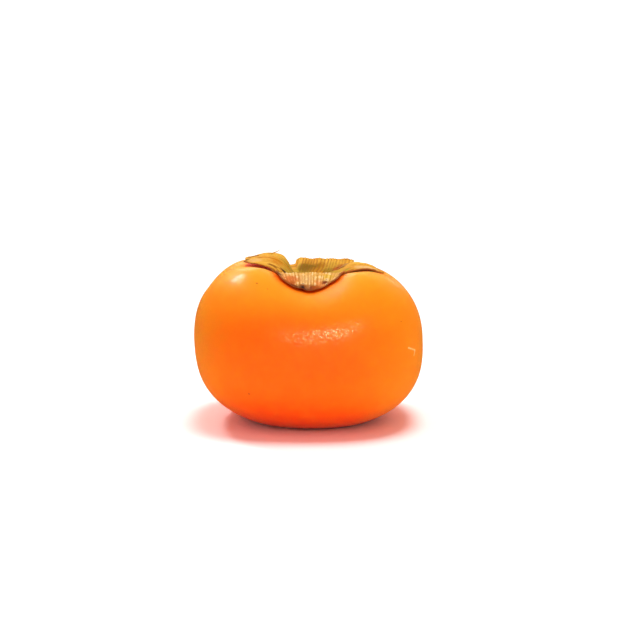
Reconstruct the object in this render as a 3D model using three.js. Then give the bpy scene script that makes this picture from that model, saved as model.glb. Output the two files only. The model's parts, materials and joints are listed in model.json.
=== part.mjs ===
// A ripe squat persimmon, picked, with its dry four-sepalled calyx and the cut end of its stalk.
// Millimetres, +Z up, resting on z = 0. The deepest of the four grooves of the crown faces -Y.
import * as THREE from "three";
import { mergeVertices } from "three/addons/utils/BufferGeometryUtils.js";

const TURN = 2 * Math.PI;
const QUARTER = TURN / 4;

// Fruit: a ring of widest girth, a full crown over it and a slightly flattened base under it.
const GIRTH_RADIUS = 42.12;
const GIRTH_HEIGHT = 28.6;
const CROWN_RISE = 31.2;
const BASE_DROP = 31.1;
const CROWN_FULLNESS = 2.52;
const BASE_FULLNESS = 2.36;
const CROWN_ONSET = 1.07;

// The stalk cavity in the crown.
const CAVITY_FLOOR = 46;
const CAVITY_RADIUS = 19;

// Four grooves run over the crown, one under each sepal: right, back, left and front.
const GROOVE_DEPTHS = [2.4, 7, 4.6, 8.8];
const GROOVE_SHARPNESS = [4, 2.2, 4, 1.85];
const GROOVE_RADIUS = 30;
const GROOVE_REACH = 17.5;

// The lobes between the grooves differ in height: back right, back left, front left, front right.
const LOBE_LIFTS = [-0.75, 1.95, 2.2, -0.1];
const LOBE_RADIUS = 29;
const LOBE_BULGE = 1.6;
const BASE_ROUNDNESS = 0.75;

// The fruit leans a little to -X from its foot to its crown.
const LEAN = 0.96;
const LEAN_HEIGHT = 30;

// The base is flat round a shallow dimple at the blossom end.
const FOOT_SOFTNESS = 0.8;
const DIMPLE_DEPTH = 1.8;
const DIMPLE_RADIUS = 9;

const FRUIT_COLUMNS = 80;
const FRUIT_ROWS = 34;
const STATION_SAMPLES = 600;

// Calyx: a shallow bowl in the cavity that divides into four sepals.
const BOWL_FLOOR = 46.9;
const BOWL_RISE = 6.6;
const BOWL_RADIUS = 11.5;
const BLADE = 0.7;
const CLEARANCE = 0.4;
const REST_SOFTNESS = 0.5;
const CALYX_COLUMNS = 136;
const CALYX_RINGS = 15;

// Each sepal bends along its spine, given as distance from the stalk and height; it then tilts, sags
// and skews across its width. Its outline has a fullness and blunt lobes, may be cut straight, and is
// torn by a share of the margin waves. The split is the share of the way to the notches at which the
// sepal parts from the bowl.
const SEPALS = [
  {
    root: 0,
    heading: 0,
    spine: [[9, 50.2], [12.5, 52.2], [15.5, 53.5], [19, 53.8], [22.5, 53.1], [25.6, 52]],
    tilt: 0.13,
    skew: 0,
    sag: 0.004,
    fullness: 0.8,
    lobes: [{ at: 4, length: 1.4, width: 7 }],
    cut: Infinity,
    torn: 0.8,
    split: 0.68,
  },
  {
    root: 90,
    heading: 80,
    spine: [[9, 49.6], [13, 51.7], [16.5, 53.3], [18.8, 54.6], [20.2, 55.6], [21.2, 56.6]],
    tilt: 0,
    skew: 0,
    sag: 0.001,
    fullness: 0.2,
    lobes: [{ at: -30, length: 4, width: 6 }],
    cut: 21.8,
    torn: 0.12,
    split: 0.84,
  },
  {
    root: 180,
    heading: 180,
    spine: [[5.3, 50.5], [6.7, 52.6], [8.6, 54.7], [11, 56.4], [13.6, 57.2], [18, 57.3], [22.2, 56.5]],
    tilt: -0.1,
    skew: 0.2,
    sag: 0.005,
    fullness: 0.75,
    lobes: [{ at: 6, length: 0.8, width: 6 }, { at: -18, length: 3, width: 8 }],
    cut: Infinity,
    torn: 0.5,
    split: 0.68,
  },
  {
    root: 270,
    heading: 270,
    spine: [[9, 50.2], [12.5, 52.5], [15, 53.5], [18, 52.7], [21.5, 50.4], [24, 48.5]],
    tilt: 0,
    skew: 0,
    sag: 0,
    fullness: 1,
    lobes: [{ at: -22, length: 1.6, width: 8 }, { at: 24, length: 1.6, width: 8 }],
    cut: Infinity,
    torn: 0.6,
    split: 0.68,
  },
];
const SPINE_START = [[0, BOWL_FLOOR], [4.2, BOWL_FLOOR + 0.9]];

// The notches before the back, left, front and right sepals: their reach and their angle off the diagonal.
const NOTCHES = [
  { reach: 13.5, shift: 0 },
  { reach: 12.3, shift: -18 },
  { reach: 14, shift: -3 },
  { reach: 15.6, shift: 4 },
];
const NOTCH_SPREAD = 18;
const TEAR_ONSET = 14;
const TEAR_FULL = 20;

// The margins are torn in waves, and shallow ribs run along the sepals.
const MARGIN_WAVES = [
  { count: 13, height: 0.5, phase: 0.7 },
  { count: 21, height: 0.4, phase: 2.1 },
  { count: 34, height: 0.35, phase: 4 },
];
const RIB_HEIGHT = 0.15;
const RIB_PITCH = 5.2;

// Stalk: the short woody end left by the cut, seated on the middle of the calyx.
const STALK_COLUMNS = 28;
const STALK_SEAT = BOWL_FLOOR + BLADE / 2 + 0.3;
const STALK_PROFILE = [[0, 0], [2.4, 0.3], [2.9, 0.9], [2.6, 1.8], [2.35, 2.8], [2.3, 3.5], [1.9, 3.8], [0, 3.9]];
const STALK_OVAL = 1.12;
const STALK_SLANT = 0.16;
const STALK_RIDGES = 5;
const STALK_RIDGE = 0.06;

const radians = THREE.MathUtils.degToRad;
const bell = (x) => Math.exp(-x * x);
const ramp = (low, high, x) => THREE.MathUtils.smoothstep(x, low, high);

// Depth of the grooves of the crown in one direction.
function grooveDepth(azimuth) {
  return GROOVE_DEPTHS.reduce((sum, depth, i) => {
    const facing = Math.cos(azimuth - i * QUARTER);
    const share = facing > 0 ? Math.max(2 * facing * facing - 1, 0) : 0;
    return sum + depth * share ** GROOVE_SHARPNESS[i];
  }, 0);
}

// How far the nearest lobes stand over the mean crown in one direction.
function lobeLift(azimuth) {
  return LOBE_LIFTS.reduce((sum, lift, i) => {
    const facing = Math.cos(azimuth - (i + 0.5) * QUARTER);
    return sum + lift * Math.max(facing, 0) ** 2;
  }, 0);
}

// Heights under the table become 0, and the edge of that flat spot is rounded.
function overTable(height) {
  if (height < -FOOT_SOFTNESS) return 0;
  if (height > FOOT_SOFTNESS) return height;
  return (height + FOOT_SOFTNESS) ** 2 / (4 * FOOT_SOFTNESS);
}

// Radius and height of the upright fruit's skin; the polar angle runs from the stalk to the blossom end.
function upright(azimuth, polar) {
  const up = Math.cos(polar);
  const fullness = THREE.MathUtils.lerp(BASE_FULLNESS, CROWN_FULLNESS, ramp(-1, 1, up));
  const rise = Math.sign(up) * Math.abs(up) ** (2 / fullness);
  const radius = GIRTH_RADIUS * Math.sin(polar) ** (2 / fullness);
  const crown = Math.max(rise, 0) ** CROWN_ONSET;
  const base = Math.max(-rise, 0);
  let height = GIRTH_HEIGHT + rise * (rise > 0 ? CROWN_RISE : BASE_DROP);
  height -= crown * (GIRTH_HEIGHT + CROWN_RISE - CAVITY_FLOOR) * bell(radius / CAVITY_RADIUS);
  height -= crown * grooveDepth(azimuth) * bell((radius - GROOVE_RADIUS) / GROOVE_REACH);
  height += crown * lobeLift(azimuth) * Math.min(radius / LOBE_RADIUS, 1);
  height = overTable(height);
  if (base > 0) height += DIMPLE_DEPTH * Math.max(1 - (radius / DIMPLE_RADIUS) ** 2, 0) ** 2;
  const bulge = LOBE_BULGE * (radius / GIRTH_RADIUS) * (1 - BASE_ROUNDNESS * base * base);
  return { radius: radius - bulge * Math.cos(4 * azimuth), height };
}

const leanAt = (height) => LEAN * (1 - height / LEAN_HEIGHT);

function skin(azimuth, polar) {
  const { radius, height } = upright(azimuth, polar);
  const x = radius * Math.cos(azimuth) + leanAt(height);
  return new THREE.Vector3(x, radius * Math.sin(azimuth), height);
}

// Height of the crown over a point of the plan, found by halving the polar angle's range.
function crownHeight(x, y) {
  let height = CAVITY_FLOOR;
  for (let pass = 0; pass < 4; pass++) {
    const across = x - leanAt(height);
    const azimuth = Math.atan2(y, across);
    const target = Math.hypot(across, y);
    let low = 0;
    let high = QUARTER;
    for (let step = 0; step < 24; step++) {
      const middle = (low + high) / 2;
      if (upright(azimuth, middle).radius > target) high = middle;
      else low = middle;
    }
    height = upright(azimuth, low).height;
  }
  return height;
}

// Polar angles that space the rows of the skin evenly along a lobe.
function evenStations(rows) {
  const angles = [0];
  const lengths = [0];
  let before = skin(QUARTER / 2, 0);
  for (let i = 1; i <= STATION_SAMPLES; i++) {
    const angle = (Math.PI * i) / STATION_SAMPLES;
    const here = skin(QUARTER / 2, angle);
    angles.push(angle);
    lengths.push(lengths[i - 1] + here.distanceTo(before));
    before = here;
  }
  return Array.from({ length: rows + 1 }, (_, row) => {
    const wanted = (lengths[STATION_SAMPLES] * row) / rows;
    const next = Math.max(lengths.findIndex((length) => length >= wanted), 1);
    const share = (wanted - lengths[next - 1]) / (lengths[next] - lengths[next - 1]);
    return THREE.MathUtils.lerp(angles[next - 1], angles[next], share);
  });
}

// Keeps only positions, joins equal vertices and drops the triangles that have closed up.
function joined(geometry) {
  geometry.deleteAttribute("normal");
  geometry.deleteAttribute("uv");
  const whole = mergeVertices(geometry);
  const kept = [];
  const index = whole.index.array;
  for (let i = 0; i < index.length; i += 3) {
    const [a, b, c] = index.slice(i, i + 3);
    if (a !== b && b !== c && c !== a) kept.push(a, b, c);
  }
  whole.setIndex(kept);
  return whole;
}

// Number of the column, of `count` round the +Z axis, in which a vertex stands.
function columnOf(x, y, count) {
  return (Math.round((Math.atan2(y, x) / TURN) * count) + count) % count;
}

function fruitGeometry() {
  const ball = new THREE.SphereGeometry(1, FRUIT_COLUMNS, FRUIT_ROWS).rotateX(QUARTER);
  const stations = evenStations(FRUIT_ROWS);
  const at = ball.attributes.position;
  for (let i = 0; i < at.count; i++) {
    const polar = Math.acos(THREE.MathUtils.clamp(at.getZ(i), -1, 1));
    const row = Math.round((polar / Math.PI) * FRUIT_ROWS);
    const column = columnOf(at.getX(i), at.getY(i), FRUIT_COLUMNS);
    const { x, y, z } = skin((TURN * column) / FRUIT_COLUMNS, stations[row]);
    at.setXYZ(i, x, y, z);
  }
  return joined(ball);
}

// Point of a sepal's spine at a distance along it; past its end the spine runs on straight.
function alongSpine(spine, distance) {
  const length = spine.getLength();
  const inside = THREE.MathUtils.clamp(distance, 0, length);
  const point = spine.getPointAt(inside / length);
  if (distance > length) point.addScaledVector(spine.getTangentAt(1), distance - length);
  return point;
}

const spines = SEPALS.map(({ spine }) => {
  const points = [...SPINE_START, ...spine].map(([x, y]) => new THREE.Vector2(x, y));
  return new THREE.SplineCurve(points);
});

// The sepal whose quarter of the calyx holds an azimuth, and the azimuth from the sepal's root.
function sepalAt(azimuth) {
  const number = Math.round(azimuth / QUARTER) % 4;
  const off = azimuth - Math.round(azimuth / QUARTER) * QUARTER;
  return { sepal: SEPALS[number], spine: spines[number], off };
}

// How far the calyx is turned round the stalk in one direction, so that its notches keep their places.
function notchShift(azimuth) {
  return NOTCHES.reduce((sum, { shift }, i) => {
    return sum + radians(shift) * bell((azimuth - (i + 0.5) * QUARTER) / radians(NOTCH_SPREAD));
  }, 0);
}

// Distance of the margin from the stalk, measured over the flattened calyx.
function marginReach(azimuth) {
  const { sepal, spine, off } = sepalAt(azimuth);
  const span = Math.max(Math.cos(2 * off), 0) ** sepal.fullness;
  const notch = NOTCHES[Math.floor(azimuth / QUARTER)].reach;
  let reach = THREE.MathUtils.lerp(notch, spine.getLength(), span);
  for (const { at, length, width } of sepal.lobes) {
    reach += length * bell((THREE.MathUtils.radToDeg(off) - at) / width);
  }
  reach = Math.min(reach, sepal.cut / Math.cos(off));
  const tear = MARGIN_WAVES.reduce((sum, wave) => {
    return sum + wave.height * Math.sin(wave.count * azimuth + wave.phase);
  }, 0);
  return reach + sepal.torn * tear * ramp(TEAR_ONSET, TEAR_FULL, reach);
}

// The larger of two heights, rounded where they meet.
function softMax(a, b) {
  const share = THREE.MathUtils.clamp(0.5 + (a - b) / (2 * REST_SOFTNESS), 0, 1);
  return THREE.MathUtils.lerp(b, a, share) + REST_SOFTNESS * share * (1 - share);
}

// Lowest height at which the middle of the calyx's blade clears the crown.
function restHeight(x, y) {
  const step = 0.5;
  const slopeX = (crownHeight(x + step, y) - crownHeight(x - step, y)) / (2 * step);
  const slopeY = (crownHeight(x, y + step) - crownHeight(x, y - step)) / (2 * step);
  return crownHeight(x, y) + (CLEARANCE + BLADE / 2) * Math.hypot(1, slopeX, slopeY);
}

// Middle of the calyx's blade; the share runs from 0 at the stalk to 1 at the margin.
function calyxPoint(azimuth, share) {
  const { sepal, spine, off } = sepalAt(azimuth);
  const reach = marginReach(azimuth) * share;
  const shift = notchShift(azimuth);
  const out = reach * Math.cos(off + shift);
  const side = reach * Math.sin(off + shift);
  const free = ramp(6, 13, out);
  const bend = alongSpine(spine, out);
  const skewed = alongSpine(spine, Math.max(out - sepal.skew * side * free, 0));
  const rib = RIB_HEIGHT * Math.sin((TURN * side) / RIB_PITCH + sepal.root) * ramp(12, 22, out);
  const height = skewed.y + free * (sepal.tilt * side - sepal.sag * side * side) + rib;
  const turned = THREE.MathUtils.lerp(sepal.root, sepal.heading, ramp(6, 16, reach));
  const leaf = new THREE.Vector3(bend.x, side, height).applyAxisAngle(
    new THREE.Vector3(0, 0, 1),
    radians(turned),
  );
  const bowl = new THREE.Vector3(
    reach * Math.cos(azimuth + shift),
    reach * Math.sin(azimuth + shift),
    BOWL_FLOOR + BOWL_RISE * (1 - bell(reach / BOWL_RADIUS)),
  );
  const point = bowl.lerp(leaf, 1 - ramp(sepal.split, 1, Math.abs(off) / (QUARTER / 2)));
  point.z = softMax(point.z, restHeight(point.x, point.y));
  return point;
}

// Gives an open sheet a thickness, with the same triangles on both faces and a closed margin.
function thickened(sheet, thickness) {
  sheet.computeVertexNormals();
  const { position, normal } = sheet.attributes;
  const count = position.count;
  const points = new Float32Array(6 * count);
  for (let i = 0; i < 2 * count; i++) {
    const half = i < count ? thickness / 2 : -thickness / 2;
    const point = new THREE.Vector3().fromBufferAttribute(position, i % count);
    point.addScaledVector(new THREE.Vector3().fromBufferAttribute(normal, i % count), half);
    point.toArray(points, 3 * i);
  }
  const index = [];
  const edges = new Map();
  for (let i = 0; i < sheet.index.count; i += 3) {
    const [a, b, c] = sheet.index.array.slice(i, i + 3);
    index.push(a, b, c, c + count, b + count, a + count);
    for (const [from, to] of [[a, b], [b, c], [c, a]]) {
      if (!edges.delete(`${to} ${from}`)) edges.set(`${from} ${to}`, [from, to]);
    }
  }
  for (const [from, to] of edges.values()) {
    index.push(from, from + count, to + count, from, to + count, to);
  }
  const solid = new THREE.BufferGeometry();
  solid.setAttribute("position", new THREE.BufferAttribute(points, 3));
  solid.setIndex(index);
  return solid;
}

function calyxGeometry() {
  const disc = new THREE.RingGeometry(0, 1, CALYX_COLUMNS, CALYX_RINGS);
  const at = disc.attributes.position;
  for (let i = 0; i < at.count; i++) {
    const ring = Math.round(Math.hypot(at.getX(i), at.getY(i)) * CALYX_RINGS);
    const column = ring > 0 ? columnOf(at.getX(i), at.getY(i), CALYX_COLUMNS) : 0;
    const { x, y, z } = calyxPoint((TURN * column) / CALYX_COLUMNS, ring / CALYX_RINGS);
    at.setXYZ(i, x, y, z);
  }
  return thickened(joined(disc), BLADE);
}

function stalkGeometry() {
  const profile = STALK_PROFILE.map(([radius, height]) => new THREE.Vector2(radius, height));
  const post = new THREE.LatheGeometry(profile, STALK_COLUMNS).rotateX(QUARTER);
  const top = STALK_PROFILE.at(-1)[1];
  const at = post.attributes.position;
  for (let i = 0; i < at.count; i++) {
    const column = columnOf(at.getX(i), at.getY(i), STALK_COLUMNS);
    const ridge = 1 + STALK_RIDGE * Math.cos((STALK_RIDGES * TURN * column) / STALK_COLUMNS);
    const slant = STALK_SLANT * at.getX(i) * (at.getZ(i) / top) ** 2;
    const [x, y] = [at.getX(i) * ridge * STALK_OVAL, at.getY(i) * ridge];
    at.setXYZ(i, x, y, STALK_SEAT + at.getZ(i) + slant);
  }
  return joined(post);
}

function part(name, geometry, color, roughness) {
  const material = new THREE.MeshStandardMaterial({ color, roughness, metalness: 0 });
  const mesh = new THREE.Mesh(geometry, material);
  mesh.name = name;
  return mesh;
}

const fruit = fruitGeometry();
fruit.computeBoundingBox();
const middle = fruit.boundingBox.getCenter(new THREE.Vector3());

const group = new THREE.Group();
group.add(part("fruit", fruit, 0xf57a1c, 0.35));
group.add(part("calyx", calyxGeometry(), 0xb79a4e, 0.8));
group.add(part("stalk", stalkGeometry(), 0x5b4027, 0.85));
group.children.forEach(({ geometry }) => geometry.translate(-middle.x, -middle.y, 0));

export default group;
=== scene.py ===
"""A ripe persimmon in a plain white studio: waxy lobed fruit, dry calyx and the cut end of its stalk.

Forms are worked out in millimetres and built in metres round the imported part, +Z up, on z = 0.
"""

from __future__ import annotations

import json
import logging
import math
from dataclasses import dataclass, field
from enum import Enum
from functools import partial
from typing import Any, Callable

import bpy
import numpy as np
from mathutils import Matrix, Quaternion, Vector, noise
from mathutils.bvhtree import BVHTree

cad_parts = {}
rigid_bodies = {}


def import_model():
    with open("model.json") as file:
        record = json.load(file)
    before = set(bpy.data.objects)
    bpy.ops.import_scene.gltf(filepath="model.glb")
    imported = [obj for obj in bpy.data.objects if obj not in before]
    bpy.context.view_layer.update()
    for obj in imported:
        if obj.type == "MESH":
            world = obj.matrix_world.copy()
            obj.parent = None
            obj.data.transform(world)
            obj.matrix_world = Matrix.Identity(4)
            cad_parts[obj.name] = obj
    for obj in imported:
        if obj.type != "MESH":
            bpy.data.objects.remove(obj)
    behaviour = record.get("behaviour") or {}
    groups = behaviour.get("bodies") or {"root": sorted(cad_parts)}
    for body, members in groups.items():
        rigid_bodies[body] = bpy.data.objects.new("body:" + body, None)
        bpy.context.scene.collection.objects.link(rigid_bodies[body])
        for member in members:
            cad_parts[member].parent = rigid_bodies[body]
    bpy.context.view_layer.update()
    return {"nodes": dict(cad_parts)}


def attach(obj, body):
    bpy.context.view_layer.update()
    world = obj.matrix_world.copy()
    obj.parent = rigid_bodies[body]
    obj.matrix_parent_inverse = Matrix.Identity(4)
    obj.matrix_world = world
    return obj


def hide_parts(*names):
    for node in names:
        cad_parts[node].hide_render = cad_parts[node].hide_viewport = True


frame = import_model()

LOG = logging.getLogger("persimmon")
MM = 0.001
TURN = 2 * math.pi
QUARTER = TURN / 4
UP = Vector((0, 0, 1))
# Makes a Map Range node go from one value to the other without a sharp start or end.
SMOOTH = {"interpolation_type": "SMOOTHSTEP"}

Array = np.ndarray
Object = bpy.types.Object
Material = bpy.types.Material
Socket = bpy.types.NodeSocket
Pair = tuple[float, float]
Triple = tuple[float, float, float]
# A span is the value where a change starts and the one where it ends, and a fade adds the shares
# before and after it.
Span = tuple[float, float]
Fade = tuple[float, float, float, float]
# Each coat's share and colour, and the function that adds a node to a material.
Coats = list[tuple[Socket, Socket | str]]
Add = Callable[..., Socket]


class Side(Enum):
    """The four grooves and sepals, by the number of quarter turns from +X."""

    RIGHT = 0
    BACK = 1
    LEFT = 2
    FRONT = 3


def bell(x: Array) -> Array:
    """A smooth hump of height 1 and half width about 1."""
    return np.exp(-np.square(x))


def ramp(low: float, high: float, x: Array) -> Array:
    """Rises smoothly from 0 at low to 1 at high."""
    share = np.clip((x - low) / (high - low), 0, 1)
    return share * share * (3 - 2 * share)


def lerp(a: Array, b: Array, share: Array) -> Array:
    """Goes from a to b as share goes from 0 to 1."""
    return a + (b - a) * share


def grain(points: Array, size: float, seed: float = 0.0) -> Array:
    """Smooth noise from -1 to 1 at points in millimetres, with lumps of that size."""
    shift = Vector((seed, -seed, 2 * seed))
    return np.array([noise.noise(Vector(point) / size + shift) for point in points])


def travelled(line: Array) -> Array:
    """How far along a line of points each of them is."""
    return np.concatenate([[0], np.cumsum(np.linalg.norm(np.diff(line, axis=0), axis=1))])


def facing(azimuth: Array, quarters: float) -> Array:
    """How squarely azimuths face one a number of quarter turns from +X, from 0 side on to 1."""
    return np.maximum(np.cos(azimuth - quarters * QUARTER), 0)


def linear(code: str) -> tuple[float, float, float, float]:
    """Turns an sRGB hex colour into linear light.

    Args:
        code: six hex digits after a #.

    Returns:
        Red, green, blue and an alpha of 1.
    """
    parts = [int(code[i : i + 2], 16) / 255 for i in (1, 3, 5)]
    red, green, blue = (c / 12.92 if c <= 0.04045 else ((c + 0.055) / 1.055) ** 2.4 for c in parts)
    return red, green, blue, 1.0


def per_mm(size: float) -> float:
    """Texture scale, per metre, of a pattern whose marks are that many millimetres across."""
    return 1 / (size * MM)


def scaled(fade: tuple[float, ...], size: float) -> tuple[float, ...]:
    """A span or fade with its two values multiplied by a size, and its shares kept."""
    return fade[0] * size, fade[1] * size, *fade[2:]


def add_node(
    tree: bpy.types.NodeTree, kind: str, inputs: dict | tuple, out: int | str = 0, **settings: Any
) -> Socket | None:
    """Adds a node with its settings and what feeds it.

    Args:
        tree: the node tree.
        kind: the node's type, after "ShaderNode".
        inputs: another node's output, a hex colour or a value for each input, in order or by name.
        out: the output to return.
        settings: the node's own properties.

    Returns:
        One output of the new node, or None if it has none.
    """
    node = tree.nodes.new("ShaderNode" + kind)
    for name, value in settings.items():
        setattr(node, name, value)
    for name, value in inputs.items() if isinstance(inputs, dict) else enumerate(inputs):
        if isinstance(value, Socket):
            tree.links.new(value, node.inputs[name])
        else:
            node.inputs[name].default_value = linear(value) if isinstance(value, str) else value
    return node.outputs[out] if node.outputs else None


def empty_tree(owner: Material | bpy.types.World) -> Add:
    """Clears the nodes of a material or of the surroundings.

    Args:
        owner: what has the nodes.

    Returns:
        The function that adds a node to it.
    """
    owner.use_nodes = True
    owner.node_tree.nodes.clear()
    return partial(add_node, owner.node_tree)


def surface(add: Add, base: str, coats: Coats, shader: dict[str, Any]) -> None:
    """Paints coats of colour over one another and makes them a material's surface.

    Args:
        add: adds a node to the material.
        base: the lowest colour.
        coats: each coat's share and colour, from the lowest up.
        shader: the surface's other inputs.
    """
    colour: Socket | str = base
    for share, tint in coats:
        colour = add("Mix", {0: share, 6: colour, 7: tint}, 2, data_type="RGBA")
    add("OutputMaterial", (add("BsdfPrincipled", {"Base Color": colour, **shader}),))


def begin(primitive: Callable[..., Any], **settings: Any) -> Object:
    """Adds a primitive, with nothing else selected.

    Args:
        primitive: the operator that adds it.
        settings: its size and so on.

    Returns:
        The new object.
    """
    bpy.ops.object.select_all(action="DESELECT")
    primitive(**settings)
    return bpy.context.object


def positions(piece: Object) -> Array:
    """The piece's vertices as rows of x, y and z."""
    return np.array([vertex.co for vertex in piece.data.vertices], float)


def move_to(piece: Object, points: Array) -> None:
    """Puts the piece's vertices at points given in millimetres."""
    piece.data.vertices.foreach_set("co", (points * MM).ravel())
    piece.data.update()


def mark(piece: Object, name: str, values: Array) -> None:
    """Stores one number a vertex on the piece, for its material to read."""
    attribute = piece.data.attributes.new(name, "FLOAT", "POINT")
    attribute.data.foreach_set("value", np.asarray(values, np.float32))


def search(piece: Object) -> BVHTree:
    """The piece's faces, ready to be searched for the nearest or for one that a ray meets."""
    return BVHTree.FromObject(piece, bpy.context.evaluated_depsgraph_get())


def settle(name: str, slot: str, finish: Material, *nodes: str) -> Object:
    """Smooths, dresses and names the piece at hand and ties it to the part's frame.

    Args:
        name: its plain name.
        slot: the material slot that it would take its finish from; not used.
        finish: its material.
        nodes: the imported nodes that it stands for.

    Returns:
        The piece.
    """
    bpy.ops.object.shade_smooth()
    piece = bpy.context.object
    piece.data.materials.append(finish)
    piece.name = name
    piece.data.name = name
    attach(piece, "root")
    if nodes:
        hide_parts(*nodes)
    return piece


@dataclass(frozen=True)
class Scuff:
    """A dry scuff of straight strokes on the skin, by the strokes' ends."""

    corners: tuple[Triple, ...] = ((33.5, -27.8, 29.7), (36, -23.8, 28.2), (35.6, -24.5, 26.6))
    width: float = 0.55
    fade: Fade = (0.3, 1, 0.8, 0)


@dataclass(frozen=True)
class WaxySkin:
    """Ripe persimmon skin: thin, taut and translucent, grown with its own wax.

    Light enters a few millimetres, so the shaded side glows red-orange, and the wax gives a soft
    sheen that the pores break into sparkles, except where the crown is rubbed smooth. Real pores
    are too fine to show, so these are drawn nearly a millimetre across. Tints come in over heights,
    and bright ones over distances to the right and left. They are partly the skin's colour and
    partly painted light: painted shade at the foot, and painted light on the sides, shoulders and
    crown. The skin under and next to the calyx has a painted shade: a red glow for the shade there.
    """

    # Tints partly painted light: painted shade at the foot, painted light on the sides and top.
    shade: str = "#f2470c"
    ripe: str = "#fb660b"
    ripe_over: Span = (0, 20)
    bright: str = "#fb8212"
    bright_right: Span = (8, 44)
    bright_left: Span = (-20, -44)
    shoulder: str = "#fb8614"
    shoulder_over: Span = (34, 49)
    crown: str = "#fd9620"
    crown_over: Span = (46, 56)
    # Painted shade: a red glow for the shade on the skin under and next to the calyx.
    sheltered: str = "#fc5206"
    scuffed: str = "#ffc884"
    blush: float = 34
    wander: float = 11
    mottle: float = 5
    mottled: Fade = (0.35, 0.75, 0, 0.14)
    speck: str = "#8a2a08"
    speck_pitch: float = 7.5
    speck_share: float = 0.2
    speck_fade: Fade = (0.02, 0.045, 0.6, 0)
    freckles: tuple[Triple, ...] = ((-17.2, -28.1, 51.6), (-19.8, -35.1, 15.4), (-11.9, -21.3, 52.7))
    freckle_radius: float = 0.4
    freckle_fade: Fade = (0.4, 1.6, 0.6, 0)
    scar: str = "#3a1d0e"
    scar_radius: float = 1.3
    scar_fade: Fade = (0.6, 1.3, 1, 0)
    scar_below: float = 10
    roughness: float = 0.45
    scuffed_roughness: float = 0.6
    ior: float = 1.45
    specular: float = 0.04
    subsurface: float = 0.65
    depth: float = 5.5
    depth_of_colours: Triple = (1, 0.22, 0.06)
    pore: float = 0.9
    pore_depth: float = 0.015
    swell: float = 1.5
    wax: float = 0.12
    pored_wax: Fade = (0.42, 0.6, 0.035, 0.2)
    wax_in_painted_shade: float = 0.01
    wax_roughness: float = 0.21
    sparkle: float = 0.07
    rubbed: Fade = (42, 49, 1, 0.1)

    def material(self, scuff: Scuff) -> Material:
        """Builds the material.

        Args:
            scuff: the dry scuff on the skin.

        Returns:
            The material.
        """
        made = bpy.data.materials.new("waxy ripe persimmon skin")
        add = empty_tree(made)
        place = add("TexCoord", (), "Object")
        x, _, z = add("SeparateXYZ", (place,)).node.outputs
        blush, mottle, pores = (
            add("TexNoise", {"Vector": place, "Scale": per_mm(size), "Detail": detail})
            for size, detail in ((self.blush, 2), (self.mottle, 4), (self.pore, 0))
        )
        spread = self.wander * MM
        wander = add("Math", (blush, spread, -spread / 2), operation="MULTIPLY_ADD")
        level, across = (add("Math", (axis, wander), operation="ADD") for axis in (z, x))
        sheltered = add("Attribute", (), 2, attribute_name="sheltered")
        worn = self._worn(add, place, mottle, scuff)
        # Partly painted light: painted shade at the foot, painted light on the sides and top.
        coats = [
            (add("MapRange", (pattern, *scaled(span, MM)), **SMOOTH), tint)
            for pattern, span, tint in (
                (level, self.ripe_over, self.ripe),
                (across, self.bright_right, self.bright),
                (across, self.bright_left, self.bright),
                (level, self.shoulder_over, self.shoulder),
                (level, self.crown_over, self.crown),
            )
        ]
        coats += [
            # Painted shade on the skin under and next to the calyx.
            (sheltered, self.sheltered),
            (add("MapRange", (mottle, *self.mottled)), self.shoulder),
            (self._specks(add, place), self.speck),
            (self._scar(add, place, z), self.scar),
            (worn, self.scuffed),
        ]

        rubbed = add("MapRange", (z, *scaled(self.rubbed, MM)), **SMOOTH)
        broken = add("MapRange", (pores, *self.pored_wax), **SMOOTH)
        wax = add("Mix", {0: rubbed, 2: self.wax, 3: broken})
        relief = add("Math", (mottle, self.swell, pores), operation="MULTIPLY_ADD")
        bump = {"Height": relief, "Strength": 1, "Distance": self.pore_depth * MM}
        sparkle = {"Height": pores, "Strength": rubbed, "Distance": self.sparkle * MM}
        shader = {
            "Roughness": add("MapRange", (worn, 0, 1, self.roughness, self.scuffed_roughness)),
            "Normal": add("Bump", bump),
            "IOR": self.ior,
            "Specular IOR Level": self.specular,
            "Subsurface Weight": self.subsurface,
            "Subsurface Radius": self.depth_of_colours,
            "Subsurface Scale": self.depth * MM,
            "Coat Weight": add("Mix", {0: sheltered, 2: wax, 3: self.wax_in_painted_shade}),
            "Coat Roughness": self.wax_roughness,
            "Coat Normal": add("Bump", sparkle),
        }
        surface(add, self.shade, coats, shader)
        return made

    def _specks(self, add: Add, place: Socket) -> Socket:
        """Draws dark pin-head specks, which only a few cells have, and the larger freckles.

        Args:
            add: adds a node to the material.
            place: places on the skin.

        Returns:
            The share of speck.
        """
        cells = add("TexVoronoi", {"Vector": place, "Scale": per_mm(self.speck_pitch)})
        chance = add("SeparateXYZ", (cells.node.outputs["Color"],))
        rare = add("Math", (chance, self.speck_share), operation="LESS_THAN")
        dot = add("MapRange", (cells, *self.speck_fade), **SMOOTH)
        specks = add("Math", (dot, rare), operation="MULTIPLY")
        fade = scaled(self.freckle_fade, self.freckle_radius * MM)
        for freckle in self.freckles:
            gap = add("VectorMath", (place, Vector(freckle) * MM), 1, operation="DISTANCE")
            dot = add("MapRange", (gap, *fade), **SMOOTH)
            specks = add("Math", (specks, dot), operation="MAXIMUM")
        return specks

    def _scar(self, add: Add, place: Socket, z: Socket) -> Socket:
        """Draws the dark scar of the style, in the middle of the base.

        Args:
            add: adds a node to the material.
            place: places on the skin.
            z: their heights.

        Returns:
            The share of scar.
        """
        flat = add("VectorMath", (place, (1, 1, 0)), operation="MULTIPLY")
        away = add("VectorMath", (flat,), 1, operation="LENGTH")
        near = add("MapRange", (away, *scaled(self.scar_fade, self.scar_radius * MM)), **SMOOTH)
        under = add("Math", (z, self.scar_below * MM), operation="LESS_THAN")
        return add("Math", (near, under), operation="MULTIPLY")

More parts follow.
